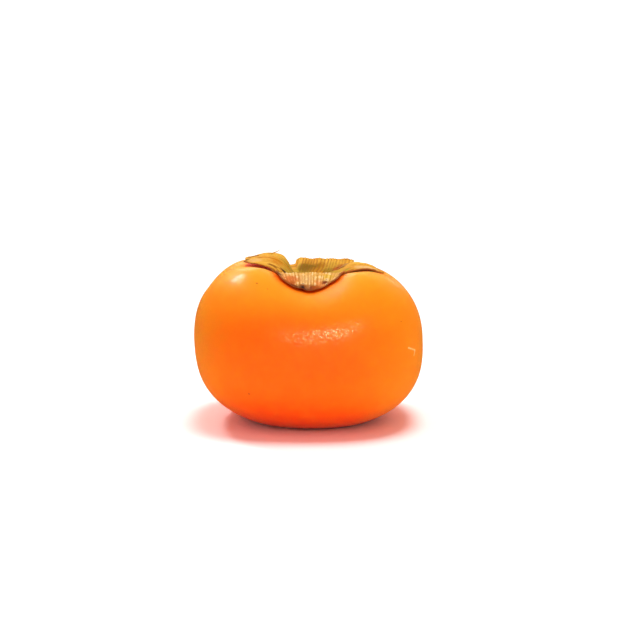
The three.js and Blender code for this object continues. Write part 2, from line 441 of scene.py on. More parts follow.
    def _worn(self, add: Add, place: Socket, mottle: Socket, scuff: Scuff) -> Socket:
        """Draws the dry scuff, with edges made ragged by the mottle.

        Args:
            add: adds a node to the material.
            place: places on the skin.
            mottle: the mottle there.
            scuff: the scuff.

        Returns:
            The share of scuff.
        """
        ragged = add("Math", (mottle, MM, -MM / 2), operation="MULTIPLY_ADD")
        corners = [Vector(corner) * MM for corner in scuff.corners]
        worn: Socket | float = 0
        for start, end in zip(corners, corners[1:]):
            line = end - start
            offset = add("VectorMath", (place, start), operation="SUBTRACT")
            unit = line / line.length_squared
            along = add("VectorMath", (offset, unit), 1, operation="DOT_PRODUCT")
            held = add("Clamp", (along,))
            foot = add("VectorMath", {0: line, "Scale": held}, operation="SCALE")
            gap = add("VectorMath", (offset, foot), 1, operation="DISTANCE")
            near = add("Math", (gap, ragged), operation="ADD")
            stroke = add("MapRange", (near, *scaled(scuff.fade, scuff.width * MM)), **SMOOTH)
            worn = add("Math", (worn, stroke), operation="MAXIMUM")
        return worn


@dataclass
class Fruit:
    """The whole fruit: a full four-lobed crown with a hollow for the calyx, over a flattened base.

    Skin within a span of gaps from the calyx gets a painted shade, a red glow for the shade there,
    and a little less of it towards the right.
    """

    finish: WaxySkin = field(default_factory=WaxySkin)
    scuff: Scuff = field(default_factory=Scuff)
    columns: int = 288
    rows: int = 144
    stations_tried: int = 600
    girth_radius: float = 42.12
    girth_height: float = 28.6
    crown_rise: float = 31.2
    base_drop: float = 31.1
    crown_fullness: float = 2.52
    base_fullness: float = 2.36
    crown_onset: float = 1.07
    cavity_floor: float = 46
    cavity_radius: float = 19
    groove_depths: tuple[float, ...] = (2.4, 7, 4.6, 8.8)
    groove_sharpness: tuple[float, ...] = (4, 2.2, 4, 1.85)
    groove_radius: float = 30
    groove_reach: float = 17.5
    lobe_lifts: tuple[float, ...] = (-0.75, 1.95, 2.2, -0.1)
    lobe_radius: float = 29
    lobe_bulge: float = 1.6
    base_roundness: float = 0.75
    lean: float = 0.96
    lean_height: float = 30
    foot_softness: float = 0.8
    dimple_depth: float = 1.8
    dimple_radius: float = 9
    # Painted shade near the calyx: gaps over which it fades, its strength, its share on the right.
    sheltered: Span = (3.6, 0.5)
    painted_shade_strength: float = 0.85
    right_painted_shade: float = 0.7
    right_to_left: Span = (8, -4)
    ripple: float = 0.12
    ripple_size: float = 11
    ripple_from: Span = (0.5, 6)
    nub_height: float = 0.9
    nub_radius: float = 1.1
    shift: Array = field(init=False)
    piece: Object = field(init=False)
    crown: BVHTree = field(init=False)

    def build(self) -> Object:
        """Models the skin as a ball whose every point is laid on the fruit's form.

        Returns:
            The finished piece.
        """
        round_ball = bpy.ops.mesh.primitive_uv_sphere_add
        piece = begin(round_ball, segments=self.columns, ring_count=self.rows, radius=1)
        ball = positions(piece)
        azimuth = np.arctan2(ball[:, 1], ball[:, 0])
        row = np.arccos(np.clip(ball[:, 2], -1, 1)) / math.pi * self.rows
        points = self.skin(azimuth, np.interp(row, np.arange(self.rows + 1), self.stations()))
        self.shift = -(points.max(0) + points.min(0)) / 2 * [1, 1, 0]
        points += self.shift
        self.add_relief(points)
        move_to(piece, points)
        self.piece = settle("persimmon_skin", "skin", self.finish.material(self.scuff), "fruit")
        self.crown = search(self.piece)
        return self.piece

    def groove_depth(self, azimuth: Array) -> Array:
        """Works out how deep the grooves are that run over the crown.

        Args:
            azimuth: directions round the stalk.

        Returns:
            One depth for each.
        """
        total = np.zeros_like(azimuth)
        for side in Side:
            share = np.maximum(2 * facing(azimuth, side.value) ** 2 - 1, 0)
            total += self.groove_depths[side.value] * share ** self.groove_sharpness[side.value]
        return total

    def lobe_lift(self, azimuth: Array) -> Array:
        """How far the nearest lobes stand over the mean crown in each direction."""
        lifts = (lift * facing(azimuth, i + 0.5) ** 2 for i, lift in enumerate(self.lobe_lifts))
        return sum(lifts, np.zeros_like(azimuth))

    def over_table(self, height: Array) -> Array:
        """Brings heights under the table up to it, with a rounded edge."""
        rounded = np.clip(height + self.foot_softness, 0, None) ** 2 / (4 * self.foot_softness)
        return np.where(height > self.foot_softness, height, rounded)

    def skin(self, azimuth: Array, polar: Array) -> Array:
        """Points of the skin.

        Args:
            azimuth: directions round the stalk.
            polar: angles from the stalk to the blossom end.

        Returns:
            Rows of x, y and z.
        """
        up = np.cos(polar)
        fullness = lerp(self.base_fullness, self.crown_fullness, ramp(-1, 1, up))
        rise = np.sign(up) * np.abs(up) ** (2 / fullness)
        radius = self.girth_radius * np.maximum(np.sin(polar), 0) ** (2 / fullness)
        crown = np.maximum(rise, 0) ** self.crown_onset
        base = np.maximum(-rise, 0)
        height = self.girth_height + rise * np.where(rise > 0, self.crown_rise, self.base_drop)
        hollow = self.girth_height + self.crown_rise - self.cavity_floor
        height -= crown * hollow * bell(radius / self.cavity_radius)
        groove = bell((radius - self.groove_radius) / self.groove_reach)
        height -= crown * self.groove_depth(azimuth) * groove
        height += crown * self.lobe_lift(azimuth) * np.minimum(radius / self.lobe_radius, 1)
        height = self.over_table(height)
        dimple = np.maximum(1 - (radius / self.dimple_radius) ** 2, 0) ** 2
        height += np.where(base > 0, self.dimple_depth * dimple, 0)
        bulge = self.lobe_bulge * (radius / self.girth_radius) * (1 - self.base_roundness * base**2)
        radius -= bulge * np.cos(len(Side) * azimuth)
        leaning = self.lean * (1 - height / self.lean_height)
        return np.stack([radius * np.cos(azimuth) + leaning, radius * np.sin(azimuth), height], -1)

    def stations(self) -> Array:
        """Works out the polar angles that space the rows of the skin evenly along a lobe.

        Returns:
            One angle a row.
        """
        angles = np.linspace(0, math.pi, self.stations_tried)
        lengths = travelled(self.skin(np.full_like(angles, QUARTER / 2), angles))
        return np.interp(np.linspace(0, lengths[-1], self.rows + 1), lengths, angles)

    def paint_shade_under(self, cover: Object) -> None:
        """Marks a painted shade, a red glow, on the skin under or close to the calyx.

        Only light from inside reaches the skin there.

        Args:
            cover: the calyx.
        """
        faces = search(cover)
        points = [Vector(point) for point in positions(self.piece)]
        gaps = np.array([faces.find_nearest(point)[3] for point in points]) / MM
        upper = [point.z > self.girth_height * MM for point in points]
        under = [high and faces.ray_cast(point, UP)[0] is not None for high, point in zip(upper, points)]
        left = ramp(*self.right_to_left, np.array([point.x for point in points]) / MM)
        near = self.painted_shade_strength * lerp(self.right_painted_shade, 1, left) * ramp(*self.sheltered, gaps)
        mark(self.piece, "sheltered", np.maximum(near, under))

    def add_relief(self, points: Array) -> None:
        """Adds, in place, the slight unevenness of grown skin and the nub left by the style.

        Args:
            points: places on the smooth skin.
        """
        away = np.hypot(points[:, 0], points[:, 1])
        base = points[:, 2] < self.girth_height / 2
        points[:, 2] -= np.where(base, self.nub_height * bell(away / self.nub_radius), 0)
        outward = points - [0, 0, self.girth_height]
        outward /= np.linalg.norm(outward, axis=1)[:, None]
        height = self.ripple * grain(points, self.ripple_size) * ramp(*self.ripple_from, points[:, 2])
        points += outward * height[:, None]

    def top_at(self, points: Array, gaps: Array) -> Array:
        """Heights at which something stays a gap off the crown, over the plan of some points.

        Args:
            points: rows that start with x and y.
            gaps: each point's gap, square to the skin.

        Returns:
            One height a point.
        """
        heights = []
        for (x, y), gap in zip(points[:, :2] * MM, gaps):
            place, normal, _, _ = self.crown.ray_cast(Vector((x, y, 1)), -UP)
            heights.append(place.z / MM + gap / normal.z)
        return np.array(heights)


# Where the spine of every sepal starts: distance from the stalk and height.
HEART: tuple[Pair, ...] = ((0, 46.9), (4.2, 47.8))


@dataclass(frozen=True)
class Sepal:
    """One dry sepal of the calyx.

    It bends along a spine given as distance from the stalk and height, then tilts, sags and skews
    across its width. Its outline has a fullness and blunt lobes, given as place, length and width,
    and may be cut off straight. Its ribs gather towards its tip. The split is the share of the way to
    its notches at which it parts from the bowl.
    """

    side: Side
    spine: tuple[Pair, ...]
    fullness: float
    heading: float = 0.0
    tilt: float = 0.0
    skew: float = 0.0
    sag: float = 0.0
    lobes: tuple[Triple, ...] = ()
    cut: float = math.inf
    torn: float = 0.7
    gather: float = 0.0
    split: float = 0.68
    run_on: float = 9
    steps: int = 40

    def line(self) -> tuple[Array, Array]:
        """Follows the spine, and runs on straight for a little way past its end.

        Returns:
            Distances along the spine, and their rows of distance from the stalk and height.
        """
        knots = np.array(self.spine)
        padded = np.vstack([knots[:1], knots, knots[-1:]])
        slopes = (padded[2:] - padded[:-2]) / 2
        t = np.linspace(0, 1, self.steps, endpoint=False)[:, None]
        points = [
            (2 * a - 2 * b + u + v) * t**3 + (3 * b - 3 * a - 2 * u - v) * t**2 + u * t + a
            for a, b, u, v in zip(knots, knots[1:], slopes, slopes[1:])
        ]
        run = np.vstack([*points, knots[-1:]])
        ahead = (run[-1] - run[-2]) / np.linalg.norm(run[-1] - run[-2])
        run = np.vstack([run, run[-1] + self.run_on * ahead])
        return travelled(run), run

    def margin(self, off: Array, notch: Array) -> Array:
        """Works out how far the untorn margin is from the stalk.

        Args:
            off: azimuths from the middle of the sepal.
            notch: reach of the notches between the sepals.

        Returns:
            One distance for each azimuth.
        """
        length = self.line()[0][-2]
        span = np.maximum(np.cos(2 * off), 0) ** self.fullness
        reach = lerp(notch, length, span)
        for at, size, width in self.lobes:
            reach += size * bell((np.degrees(off) - at) / width)
        return np.minimum(reach, self.cut / np.cos(off))


class Tint(Enum):
    """What the weather and the fruit's juice have made of parts of the calyx.

    Brown and char also paint shadow where the calyx meets the skin.
    """

    CREAM = "#e0b474"
    PEACH = "#dc9450"
    GOLD = "#d8aa34"
    AMBER = "#c87c0c"
    BRONZE = "#a0650a"
    OLIVE = "#765604"
    LIME = "#a48a20"
    CORAL = "#cc6c30"
    RUST = "#a0460e"
    BROWN = "#74380e"
    MAROON = "#6a1c08"
    CHAR = "#2c1712"


@dataclass(frozen=True)
class Stain:
    """A ragged patch of another tint on the calyx, by its middle, radius and strength.

    A wash lies under the ribs and a stain over them.
    """

    place: Triple
    radius: float
    tint: Tint
    strength: float = 0.8


@dataclass(frozen=True)
class DrySepal:
    """Dried calyx leaf: stiff, papery and ribbed, straw yellow with some green left in the middle.

    It has no gloss, lets a little light through, and is browned at the margin and darker in the
    dips between its ribs. Its front sepal is paler, partly its own colour and partly a painted
    highlight on its rib ridges, with a brighter painted highlight on the rib crests. It is fresh up
    to a distance from the stalk, which the patches and the back sepal shift, and browned up to one
    from the margin, which the patches and the front and back sepals shift. A few dark stains are
    painted shadow where the calyx meets the skin.
    """

    straw: str = "#d8a036"
    warm: str = "#c2741e"
    warmed: Fade = (0.42, 0.68, 0, 0.45)
    # Front sepal paler: partly its colour, partly a painted highlight on the rib ridges.
    pale: str = "#d8a866"
    paled: Fade = (-0.1, 0.7, 0.35, 0.7)
    lime: str = "#b0902a"
    fresh: Fade = (14, 21, 0.9, 0)
    fresh_shifts: Pair = (8, -4)
    olive: str = "#80620c"
    dulled: Fade = (0.5, 0.7, 0, 0.85)
    back_dullness: float = 0.2
    # Painted highlight on the front sepal's rib crests, broken into patches.
    rib_highlight: str = "#f6dcae"
    crests: Fade = (0.3, 1.1, 0, 0.5)
    highlight_patches: Fade = (0.4, 0.6, 0.1, 1)
    rib: str = "#8c4812"
    dips: Fade = (0.35, -0.6, 0, 0.95)
    rib_breaks: Fade = (0.35, 0.6, 0.25, 1)
    margin: str = "#8e4420"
    browned: Fade = (-4.4, -2.6, 0.85, 0)
    browned_shifts: Triple = (-7, -0.9, 2)
    spot: str = "#3a1c0e"
    spotted: Fade = (0.68, 0.74, 0, 0.7)
    under: str = "#a8763c"
    roughness: float = 0.8
    specular: float = 0.05
    subsurface: float = 0.15
    depth: float = 0.8
    depth_of_colours: Triple = (1, 0.6, 0.25)
    patch: float = 6
    fleck: float = 1.6
    fibre: float = 0.35
    fibre_depth: float = 0.05
    swell: float = 1.5
    crinkle: Pair = (4, -2)
    crinkled: Fade = (0, 1, 0.35, 1)
    raggedness: float = 1.6
    stained: Span = (1.7, 2.7)
    washes: tuple[Stain, ...] = (
        Stain((-1.2, -19.6, 52), 2.8, Tint.CREAM, 0.6),
        Stain((-7.6, -18.6, 53), 2.4, Tint.PEACH, 0.7),
        Stain((-6, -20.2, 52), 2.8, Tint.CORAL, 0.9),
        Stain((3.2, -20.9, 51.2), 1.8, Tint.PEACH),
        Stain((6.6, -18.6, 52.8), 1.6, Tint.GOLD),
        Stain((-18.8, -3.8, 57.2), 2.4, Tint.CREAM, 0.55),
        Stain((-11.4, -0.6, 56.4), 2.8, Tint.AMBER, 0.9),
        Stain((-7.3, 1.2, 54.2), 1.8, Tint.AMBER, 0.6),
        Stain((-11.5, -3.6, 56.3), 1.8, Tint.AMBER),
        Stain((0, 17.2, 53.9), 2.4, Tint.BRONZE, 0.6),
        Stain((4.4, 15.4, 53.2), 2.2, Tint.BRONZE, 0.85),
        Stain((-1.6, 14.6, 52.6), 2.6, Tint.OLIVE, 0.9),
        Stain((1.6, 14.2, 52.6), 2.6, Tint.OLIVE, 0.9),
        Stain((3.4, 11.6, 51.6), 3, Tint.AMBER, 0.6),
        Stain((11.8, 11.2, 52.9), 2.2, Tint.RUST, 0.9),
        Stain((11.9, 13.2, 53.4), 1.8, Tint.RUST),
        Stain((10, 11.8, 52.7), 1.4, Tint.RUST),
        Stain((10.3, 10.7, 52.3), 1.6, Tint.RUST),
        Stain((13.6, 0.4, 53.2), 1.8, Tint.LIME, 0.9),
        Stain((18.6, 0.8, 54.2), 2.6, Tint.CREAM, 0.7),
        Stain((22, 1.3, 53.8), 2.6, Tint.CREAM, 0.9),
        Stain((26, 0.4, 52.5), 1.5, Tint.AMBER),
    )
    stains: tuple[Stain, ...] = (
        Stain((-6, -20.8, 51.6), 2.5, Tint.CORAL, 0.3),
        Stain((4, -22, 50.6), 1.9, Tint.CORAL, 0.55),
        Stain((1.2, -23.4, 49.5), 1.2, Tint.MAROON, 0.7),
        Stain((-6.8, -22.4, 51.3), 2.6, Tint.RUST, 0.8),
        Stain((-5.2, -23.3, 50.1), 1.4, Tint.MAROON, 0.9),
        Stain((5.6, -21.2, 51.2), 1.1, Tint.MAROON, 0.95),
        Stain((2.6, -23.4, 49.4), 1.6, Tint.RUST, 0.7),
        Stain((-2.2, -23.4, 49.2), 1.7, Tint.CHAR, 1.0),
        # Painted shadow: near-black at the left end of the front sepal, by the skin.
        Stain((-10.2, -18.4, 53.3), 1.2, Tint.CHAR, 0.9),
        Stain((-20.7, 5.1, 57.3), 1.2, Tint.BROWN, 0.9),
        Stain((-18.9, 5.8, 57.7), 1.2, Tint.BROWN, 0.9),
        Stain((-21.9, 0.2, 56.8), 1, Tint.BROWN),
        Stain((-22.4, -2.8, 56.7), 0.8, Tint.CHAR),
        # Painted shadow: a dark line along the left sepal's lower edge, where it meets the skin.
        Stain((-13.2, -8.1, 55.9), 1, Tint.BROWN),
        Stain((-11.7, -8.2, 55.1), 1, Tint.BROWN),
        Stain((-9.3, -6.1, 54.1), 0.9, Tint.BROWN),
        Stain((-8.4, -6.3, 53.3), 1.2, Tint.CHAR, 0.95),
        Stain((12.6, 9, 53.3), 1.5, Tint.BROWN, 0.9),
        Stain((11.2, 12.4, 53.1), 1, Tint.BROWN, 0.7),
    )

    def material(self) -> Material:
        """Builds the material, which reads the numbers stored on the calyx.

        Returns:
            The material.
        """
        made = bpy.data.materials.new("dry papery persimmon sepal")
        add = empty_tree(made)
        place = add("TexCoord", (), "Object")
        out, margin, ribs, under, front, back = (
            add("Attribute", (), 2, attribute_name=name)
            for name in ("out", "margin", "ribs", "under", "front", "back")
        )
        patch, fleck, fibre = (
            add("TexNoise", {"Vector": place, "Scale": per_mm(size), "Detail": detail})
            for size, detail in ((self.patch, 3), (self.fleck, 4), (self.fibre, 3))
        )
        crinkle = add("Math", (fleck, *self.crinkle), operation="MULTIPLY_ADD")
        loose = add("MapRange", (front, *self.crinkled))
        ribs = add("Math", (crinkle, loose, ribs), operation="MULTIPLY_ADD")
        for pattern, shift in zip((patch, back), self.fresh_shifts):
            out = add("Math", (pattern, shift, out), operation="MULTIPLY_ADD")
        for pattern, shift in zip((patch, front, back), self.browned_shifts):
            margin = add("Math", (pattern, shift, margin), operation="MULTIPLY_ADD")
        aged = add("Math", (back, self.back_dullness, fleck), operation="MULTIPLY_ADD")
        ragged = add("Math", (fleck, self.raggedness, patch), operation="MULTIPLY_ADD")

        warm = add("MapRange", (patch, *self.warmed), **SMOOTH)
        fresh = add("MapRange", (out, *self.fresh), **SMOOTH)
        dull = add("MapRange", (aged, *self.dulled), **SMOOTH)
        brown = add("MapRange", (margin, *self.browned), **SMOOTH)
        spot = add("MapRange", (fleck, *self.spotted), **SMOOTH)
        # Partly painted highlight: the front sepal is paler, more so on its rib ridges.
        pale = add("MapRange", (ribs, *self.paled))
        # Painted highlight on the front sepal's rib crests, broken into patches.
        crest = add("MapRange", (ribs, *self.crests))
        highlight_patches = add("MapRange", (fleck, *self.highlight_patches))
        dip = add("MapRange", (ribs, *self.dips))
        whole = add("MapRange", (fleck, *self.rib_breaks))
        lit = add("Math", (front, crest), operation="MULTIPLY")
        pale, dull, lit, stripe = (
            add("Math", pair, operation="MULTIPLY")
            for pair in ((front, pale), (dull, fresh), (lit, highlight_patches), (dip, whole))
        )
        coats = [(warm, self.warm), (pale, self.pale), (fresh, self.lime), (dull, self.olive)]
        coats += self._spread(add, self.washes, place, ragged)
        # Painted highlight on the rib crests, then darker rib dips and the browned margin.
        coats += [(lit, self.rib_highlight), (stripe, self.rib), (brown, self.margin)]
        coats += self._spread(add, self.stains, place, ragged)
        coats += [(spot, self.spot), (under, self.under)]

        relief = add("Math", (fleck, self.swell, fibre), operation="MULTIPLY_ADD")
        bump = {"Height": relief, "Strength": 1, "Distance": self.fibre_depth * MM}
        shader = {
            "Roughness": self.roughness,
            "Specular IOR Level": self.specular,
            "Subsurface Weight": self.subsurface,
            "Subsurface Radius": self.depth_of_colours,
            "Subsurface Scale": self.depth * MM,
            "Normal": add("Bump", bump),
        }
        surface(add, self.straw, coats, shader)
        return made

    def _spread(self, add: Add, stains: tuple[Stain, ...], place: Socket, ragged: Socket) -> Coats:
        """Spreads stains over the calyx.

        Args:
            add: adds a node to the material.
            stains: the stains, from the lowest up.
            place: places on the calyx.
            ragged: the pattern that makes their edges ragged.

        Returns:
            Each stain's share and colour.
        """
        coats = []
        for stain in stains:
            reach = stain.radius * MM
            gap = add("VectorMath", (place, Vector(stain.place) * MM), 1, operation="DISTANCE")
            near = add("Math", (ragged, reach, gap), operation="MULTIPLY_ADD")
            fade = scaled((*self.stained, stain.strength, 0), reach)
            coats.append((add("MapRange", (near, *fade), **SMOOTH), stain.tint.value))
        return coats


@dataclass
class Calyx:
    """The dry calyx: a shallow bowl round the stalk that divides into four sepals.

    Most of its forms come in over a span of distances from the stalk. The rib strength is a mean and
    how much it changes, and the grains are those of the ribs' sway and strength.
    """

    fruit: Fruit
    finish: DrySepal = field(default_factory=DrySepal)
    columns: int = 544
    rings: int = 56
    bowl_floor: float = 46.9
    bowl_rise: float = 6.6
    bowl_radius: float = 11.5
    blade: float = 0.42
    clearance: float = 0.25
    rest_softness: float = 0.5
    margin_lift: float = 0.5
    margin_width: float = 3
    notch_reach: tuple[float, ...] = (13.5, 12.3, 14, 15.6)
    notch_shift: tuple[float, ...] = (0, -18, -3, 4)
    notch_spread: float = 18
    notch_edge: Span = (0.8, 1)
    torn_over: Span = (14, 20)
    waves: tuple[Triple, ...] = ((13, 0.5, 0.7), (21, 0.4, 2.1), (34, 0.35, 4))
    fray: float = 0.5
    fray_radius: float = 20
    fray_sizes: Pair = (1.1, 0.7)
    fray_notch: Span = (0.25, 0.6)
    leaf_over: Span = (6, 13)
    turned_over: Span = (6, 16)
    fold_height: float = 0.15
    fold_pitch: float = 5.2
    folded_over: Span = (12, 22)
    rib_height: float = 0.14
    rib_pitch: float = 1.15
    ribbed_over: Span = (8, 13)
    rib_root: float = 0.6
    rib_fan: Span = (0, 16)
    rib_drift: float = 0.06
    rib_sway: float = 5
    rib_strength: Pair = (0.55, 0.75)
    rib_least: float = 0.25
    rib_grain: Pair = (2.3, 1.5)
    gathered_over: Span = (15, 27)
    crumple: float = 0.25
    crumple_size: float = 3.2
    crumpled_over: Span = (11, 17)
    collar_radius: float = 6.2
    collar_width: float = 1.3
    collar_height: float = 0.7
    right: Sepal = Sepal(
        Side.RIGHT,
        (*HEART, (9, 50.2), (12.5, 52.2), (15.5, 53.5), (19, 53.8), (22.5, 53.1), (25.6, 52)),
        fullness=0.8,
        tilt=0.13,
        sag=0.004,
        lobes=((4, 1.4, 7),),
        torn=0.8,
    )
    back: Sepal = Sepal(
        Side.BACK,
        (*HEART, (9, 49.6), (13, 51.7), (16.5, 53.3), (18.8, 54.6), (20.2, 55.6), (21.2, 56.6)),
        fullness=0.2,
        heading=-10,
        sag=0.001,
        lobes=((-30, 4, 6),),
        cut=21.8,
        torn=0.12,
        split=0.84,
    )
    left: Sepal = Sepal(
        Side.LEFT,
        (
            *HEART,
            (5.3, 50.5),
            (6.7, 52.6),
            (8.6, 54.7),
            (11, 56.4),
            (13.6, 57.2),
            (18, 57.3),
            (22.2, 56.5),
        ),
        fullness=0.75,
        tilt=-0.1,
        skew=0.2,
        sag=0.005,
        lobes=((6, 0.8, 6), (-18, 3, 8)),
        torn=0.5,
    )
    front: Sepal = Sepal(
        Side.FRONT,
        (*HEART, (9, 50.2), (12.5, 52.5), (15, 53.5), (18, 52.7), (21.5, 50.4), (24, 48.5)),
        fullness=1,
        lobes=((-22, 1.6, 8), (24, 1.6, 8)),
        torn=0.6,
        gather=0.2,
    )

    def build(self) -> Object:
        """Models the calyx as a disc of rings, lays it on its form and thickens it.

        Returns:
            The finished piece.
        """
        piece = self.disc()
        flat = positions(piece)
        share = np.round(np.hypot(flat[:, 0], flat[:, 1]) * self.rings) / self.rings
        azimuth = np.arctan2(flat[:, 1], flat[:, 0]) % TURN
        points, marks = self.form(azimuth, share)
        move_to(piece, points + self.fruit.shift)
        for name, values in marks.items():
            mark(piece, name, values)
        self.thicken(piece)
        settle("dry_calyx", "dry_sepal", self.finish.material(), "calyx")
        # Paints a shade on the skin under and next to the calyx.
        self.fruit.paint_shade_under(piece)
        return piece

    def disc(self) -> Object:
        """Models a flat disc of radius 1 in even rings, closed in the middle.

        Returns:
            The disc.
        """
        circle = bpy.ops.mesh.primitive_circle_add
        disc = begin(circle, vertices=self.columns, radius=1, fill_type="NGON")
        bpy.ops.object.mode_set(mode="EDIT")
        bpy.ops.mesh.select_all(action="SELECT")
        for _ in range(self.rings - 1):
            bpy.ops.mesh.inset(thickness=1 / self.rings)
        bpy.ops.mesh.merge(type="COLLAPSE")
        bpy.ops.object.mode_set(mode="OBJECT")
        return disc

    def turned_by(self, azimuth: Array) -> Array:
        """Works out how far the calyx is turned round the stalk, so that its notches keep their places.

        Args:
            azimuth: directions round the stalk.

        Returns:
            One angle for each.
        """
        spread = math.radians(self.notch_spread)
        gaps = ((azimuth - (i + 0.5) * QUARTER) / spread for i in range(len(Side)))
        return sum(math.radians(shift) * bell(gap) for shift, gap in zip(self.notch_shift, gaps))

    def tear(self, azimuth: Array) -> Array:
        """Works out how far the tears and frays move the margin out.

        Args:
            azimuth: directions round the stalk.

        Returns:
            One distance for each.
        """
        waves = sum(height * np.sin(count * azimuth + phase) for count, height, phase in self.waves)
        ring = np.stack([np.cos(azimuth), np.sin(azimuth), 0 * azimuth], -1) * self.fray_radius
        coarse, fine = (grain(ring, size, seed) for size, seed in zip(self.fray_sizes, (3, 8)))
        return waves + self.fray * (coarse - ramp(*self.fray_notch, fine))

    def form(self, azimuth: Array, share: Array) -> tuple[Array, dict[str, Array]]:
        """Lays the calyx on its form.

        Args:
            azimuth: directions round the stalk.
            share: shares of the way from the stalk to the margin.

        Returns:
            Rows of x, y and z of the middle of the blade, and numbers for the material.
        """
        points = np.zeros((len(azimuth), 3))
        marks = {name: np.zeros(len(azimuth)) for name in ("out", "margin", "ribs", "front", "back")}
        number = np.round(azimuth / QUARTER).astype(int) % len(Side)
        notch = np.array(self.notch_reach)[(azimuth / QUARTER).astype(int) % len(Side)]
        turned = self.turned_by(azimuth)
        for sepal in (self.right, self.back, self.left, self.front):
            mine = number == sepal.side.value
            around = azimuth[mine]
            off = around - np.round(around / QUARTER) * QUARTER
            edge = sepal.margin(off, notch[mine])
            edge += sepal.torn * self.tear(around) * ramp(*self.torn_over, edge)
            reach = edge * share[mine]
            to_notch = np.abs(off) / (QUARTER / 2)
            off += turned[mine]
            whole = around + turned[mine]
            rise = self.bowl_floor + self.bowl_rise * (1 - bell(reach / self.bowl_radius))
            bowl = np.stack([reach * np.cos(whole), reach * np.sin(whole), rise], -1)
            leaf = self.leaf(sepal, off, reach)
            points[mine] = lerp(leaf, bowl, ramp(sepal.split, 1, to_notch)[:, None])
            marks["out"][mine] = reach
            marks["margin"][mine] = edge - reach
            marks["ribs"][mine] = self.ribs(sepal, off, reach)
            if sepal.side in (Side.FRONT, Side.BACK):
                marks[sepal.side.name.lower()][mine] = 1 - ramp(*self.notch_edge, to_notch)
        out = marks["out"]
        points[:, 2] += self.rib_height * marks["ribs"] * ramp(*self.ribbed_over, out)
        crumples = self.crumple * grain(points, self.crumple_size, 5)
        points[:, 2] += crumples * ramp(*self.crumpled_over, out)
        points[:, 2] += self.collar_height * bell((out - self.collar_radius) / self.collar_width)
        lifted = self.margin_lift * ramp(self.margin_width, 0, marks["margin"])
        low = self.fruit.top_at(points + self.fruit.shift, self.clearance + self.blade / 2 + lifted)
        points[:, 2] = self.soft_max(points[:, 2], low)
        return points, marks

    def leaf(self, sepal: Sepal, off: Array, reach: Array) -> Array:
        """Points of a sepal away from its notches.

        Args:
            sepal: the sepal.
            off: azimuths from the middle of the sepal.
            reach: distances from the stalk.

        Returns:
            Rows of x, y and z.
        """
        out, side = reach * np.cos(off), reach * np.sin(off)
        lengths, run = sepal.line()
        free = ramp(*self.leaf_over, out)
        bend = np.interp(out, lengths, run[:, 0])
        skewed = np.interp(np.maximum(out - sepal.skew * side * free, 0), lengths, run[:, 1])
        root = math.degrees(sepal.side.value * QUARTER)
        waves = np.sin(TURN * side / self.fold_pitch + root) * ramp(*self.folded_over, out)
        height = skewed + free * (sepal.tilt * side - sepal.sag * side**2) + self.fold_height * waves
        heading = np.radians(lerp(root, root + sepal.heading, ramp(*self.turned_over, reach)))
        x = bend * np.cos(heading) - side * np.sin(heading)
        y = bend * np.sin(heading) + side * np.cos(heading)
        return np.stack([x, y, height], -1)

    def ribs(self, sepal: Sepal, off: Array, reach: Array) -> Array:
        """Works out the fine uneven ribs that run out over a sepal.

        Args:
            sepal: the sepal.
            off: azimuths from the middle of the sepal.
            reach: distances from the stalk.

        Returns:
            Their rise and fall, from -1 to 1.
        """
        side, out = reach * np.sin(off), reach * np.cos(off)
        fan = side / lerp(self.rib_root, 1, ramp(*self.rib_fan, out))
        fan /= 1 - sepal.gather * ramp(*self.gathered_over, out)
        line = np.stack([fan, self.rib_drift * out, np.full_like(fan, sepal.side.value)], -1)
        bent, uneven = (grain(line, size, seed) for size, seed in zip(self.rib_grain, (1, 4)))
        mean, change = self.rib_strength
        strength = np.clip(mean + change * uneven, self.rib_least, 1)
        return strength * np.sin(TURN * fan / self.rib_pitch + self.rib_sway * bent)

    def soft_max(self, a: Array, b: Array) -> Array:
        """The larger of two heights, rounded where they meet."""
        share = np.clip(0.5 + (a - b) / (2 * self.rest_softness), 0, 1)
        return lerp(b, a, share) + self.rest_softness * share * (1 - share)

    def thicken(self, piece: Object) -> None:
        """Gives the sheet its thickness and marks its underside.

        Args:
            piece: the calyx as a sheet.
        """
        upper = len(piece.data.vertices)
        solid = piece.modifiers.new("blade", "SOLIDIFY")
        solid.thickness = self.blade * MM
        solid.offset = 0
        bpy.ops.object.modifier_apply(modifier=solid.name)
        mark(piece, "under", np.arange(len(piece.data.vertices)) >= upper)


@dataclass
class Curl:
    """A thin shred torn from the margin of the left sepal, dried into a curl.

    Its path gives x, y, z and radius, and it is coloured like a sepal that far out.
    """

    calyx: Calyx
    out: float = 24
    order: int = 4
    steps: int = 12
    roundness: int = 3
    path: tuple[tuple[float, float, float, float], ...] = (
        (-16.2, 7.0, 57.7, 0.3),
        (-14.4, 7.6, 58.1, 0.26),
        (-12.7, 8.0, 58.4, 0.2),
        (-11.3, 8.2, 58.9, 0.14),
        (-10.0, 8.4, 59.8, 0.05),
    )

    def build(self, finish: Material) -> Object:
        """Models the shred as a thread that thins to its tip.

        Args:
            finish: the material of the calyx.

        Returns:
            The finished piece.
        """
        thread = begin(bpy.ops.curve.primitive_nurbs_path_add).data
        thread.splines.clear()
        line = thread.splines.new("NURBS")
        line.points.add(len(self.path) - 1)
        for point, (*place, radius) in zip(line.points, self.path):
            point.co = (*((Vector(place) + Vector(self.calyx.fruit.shift)) * MM), 1)
            point.radius = radius
        line.use_endpoint_u = True
        line.order_u = self.order
        thread.dimensions = "3D"
        thread.resolution_u = self.steps
        thread.bevel_depth = MM
        thread.bevel_resolution = self.roundness
        thread.use_fill_caps = True
        bpy.ops.object.convert(target="MESH")
        piece = settle("sepal_curl", "dry_sepal", finish)
        mark(piece, "out", np.full(len(piece.data.vertices), self.out))
        return piece


